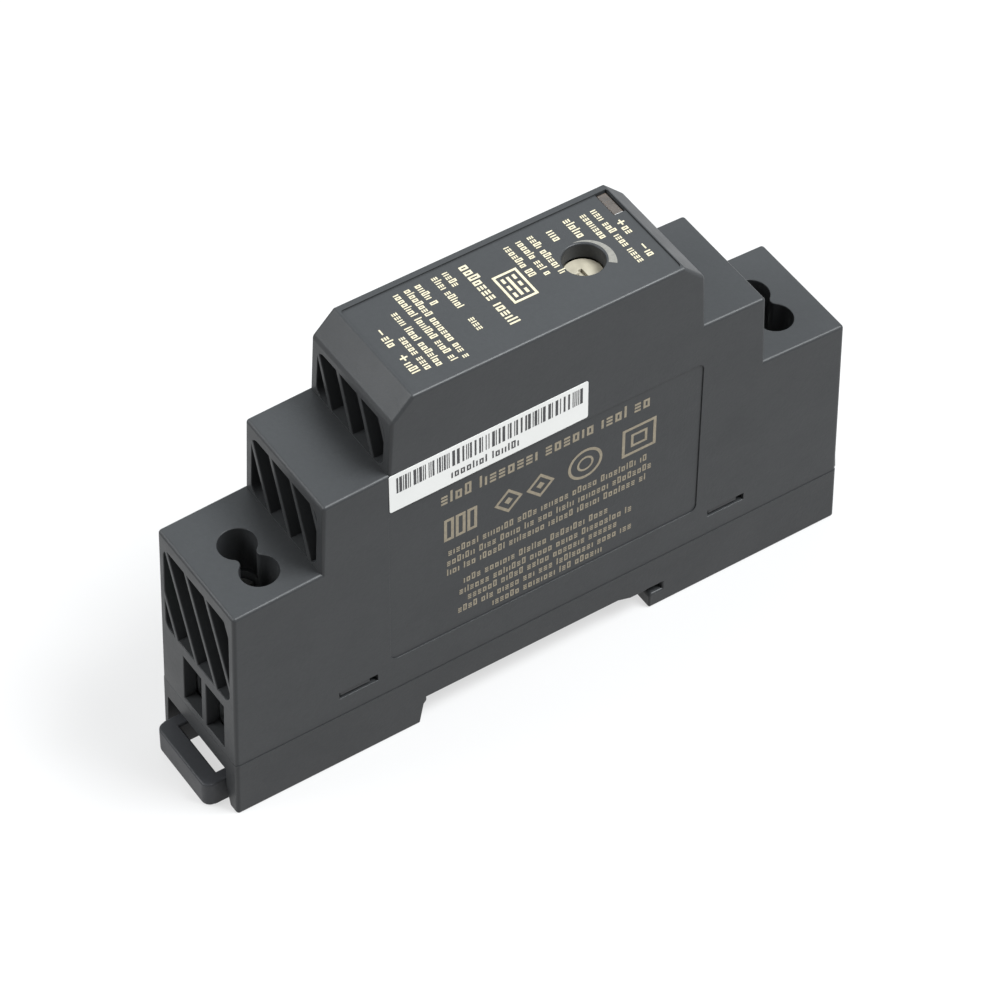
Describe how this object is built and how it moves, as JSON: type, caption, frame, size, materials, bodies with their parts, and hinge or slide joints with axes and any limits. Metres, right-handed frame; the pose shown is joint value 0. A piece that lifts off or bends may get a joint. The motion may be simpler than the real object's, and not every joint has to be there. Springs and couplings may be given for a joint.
{
  "type": "DIN rail power supply",
  "caption": "Narrow stepped DIN-rail power supply with end terminals, slanted vents, an adjuster, an indicator window and a sliding rail clip.",
  "frame": {"origin": "centre of the face that seats on the rail's front surface", "axes": "+X across the rail towards the fixed hook, -X towards the sliding clip; +Y along the rail; +Z away from the rail, towards the front face"},
  "size_m": [0.0927, 0.0176, 0.0586],
  "materials": {
    "housing_plastic": "fine moulded texture, dark slate grey",
    "cover_plastic": "fine moulded texture, dark grey",
    "clip_plastic": "satin, dark slate grey",
    "spring_steel": "bright drawn wire",
    "label_paper": "matte printed paper",
    "window_plastic": "smoky translucent",
    "led_resin": "clear resin",
    "trimmer_black": "satin black",
    "trimmer_cream": "satin, cream",
    "board_laminate": "solder mask over glass laminate",
    "insulating_film": "thin film",
    "terminal_plastic": "satin black",
    "screw_steel": "zinc plated",
    "cage_metal": "plated brass",
    "contact_metal": "tin plated",
    "ferrite": "sintered ferrite, dull",
    "bobbin_plastic": "satin",
    "winding_tape": "yellow polyester tape",
    "can_sleeve": "printed sleeve on an aluminium can",
    "copper_wire": "enamelled copper",
    "chip_epoxy": "moulded epoxy",
    "fuse_ceramic": "ceramic",
    "capacitor_ceramic": "ceramic",
    "resistor_film": "glazed film"
  },
  "bodies": {
    "case": {"housing": "housing_plastic", "rear_cover": "cover_plastic", "clip_spring": "spring_steel", "serial_label": "label_paper", "led_window": "window_plastic", "led": "led_resin", "trimmer_body": "trimmer_black", "circuit_board": "board_laminate", "insulating_sheet": "insulating_film", "input_terminal_body": "terminal_plastic", "output_terminal_body": "terminal_plastic", "input_contacts": "contact_metal", "output_contacts": "contact_metal", "transformer_core": "ferrite", "transformer_bobbin": "bobbin_plastic", "transformer_winding": "winding_tape", "input_capacitor": "can_sleeve", "output_capacitors": "can_sleeve", "input_choke_core": "ferrite", "input_choke_winding": "copper_wire", "output_choke_core": "ferrite", "output_choke_winding": "copper_wire", "switching_transistor": "chip_epoxy", "rectifier": "chip_epoxy", "controller_chip": "chip_epoxy", "optocoupler": "chip_epoxy", "fuse": "fuse_ceramic", "surge_suppressor": "chip_epoxy", "ceramic_capacitors": "capacitor_ceramic", "chip_resistors": "resistor_film"},
    "clip": {"rail_clip": "clip_plastic"},
    "rotor": {"trimmer_rotor": "trimmer_cream"},
    "input_screw_neg_body": {"input_screw_neg": "screw_steel"},
    "input_cage_neg_body": {"input_cage_neg": "cage_metal"},
    "input_screw_pos_body": {"input_screw_pos": "screw_steel"},
    "input_cage_pos_body": {"input_cage_pos": "cage_metal"},
    "output_screw_pos_body": {"output_screw_pos": "screw_steel"},
    "output_cage_pos_body": {"output_cage_pos": "cage_metal"},
    "output_screw_neg_body": {"output_screw_neg": "screw_steel"},
    "output_cage_neg_body": {"output_cage_neg": "cage_metal"}
  },
  "joints": [
    {"name": "clip_slide", "type": "slide", "parent": "case", "child": "clip", "axis": [-1, 0, 0], "range_m": [0, 0.004], "stiffness_N_per_m": 1500, "springref_m": -0.002, "deforming": ["clip_spring"]},
    {"name": "trimmer_turn", "type": "hinge", "parent": "case", "child": "rotor", "pos_m": [0.01, -0.00065, 0.05195], "axis": [0, 0, -1], "range_deg": [-130, 130]},
    {"name": "input_neg_cage_rise", "type": "slide", "parent": "case", "child": "input_cage_neg_body", "axis": [0, 0, 1], "range_m": [0, 0.004]},
    {"name": "input_neg_screw_turn", "type": "hinge", "parent": "case", "child": "input_screw_neg_body", "pos_m": [-0.0375, 0.00125, 0.0222], "axis": [0, 0, -1], "range_deg": [0, 2882]},
    {"name": "input_pos_cage_rise", "type": "slide", "parent": "case", "child": "input_cage_pos_body", "axis": [0, 0, 1], "range_m": [0, 0.004]},
    {"name": "input_pos_screw_turn", "type": "hinge", "parent": "case", "child": "input_screw_pos_body", "pos_m": [-0.0375, -0.00375, 0.0222], "axis": [0, 0, -1], "range_deg": [0, 2882]},
    {"name": "output_pos_cage_rise", "type": "slide", "parent": "case", "child": "output_cage_pos_body", "axis": [0, 0, 1], "range_m": [0, 0.004]},
    {"name": "output_pos_screw_turn", "type": "hinge", "parent": "case", "child": "output_screw_pos_body", "pos_m": [0.0375, 0.0021, 0.0222], "axis": [0, 0, -1], "range_deg": [0, 2882]},
    {"name": "output_neg_cage_rise", "type": "slide", "parent": "case", "child": "output_cage_neg_body", "axis": [0, 0, 1], "range_m": [0, 0.004]},
    {"name": "output_neg_screw_turn", "type": "hinge", "parent": "case", "child": "output_screw_neg_body", "pos_m": [0.0375, -0.0029, 0.0222], "axis": [0, 0, -1], "range_deg": [0, 2882]}
  ],
  "couplings": [
    {"joint": "input_neg_screw_turn", "follows": "input_neg_cage_rise", "rad_per_m": 12566},
    {"joint": "input_pos_screw_turn", "follows": "input_pos_cage_rise", "rad_per_m": 12566},
    {"joint": "output_pos_screw_turn", "follows": "output_pos_cage_rise", "rad_per_m": 12566},
    {"joint": "output_neg_screw_turn", "follows": "output_neg_cage_rise", "rad_per_m": 12566}
  ]
}
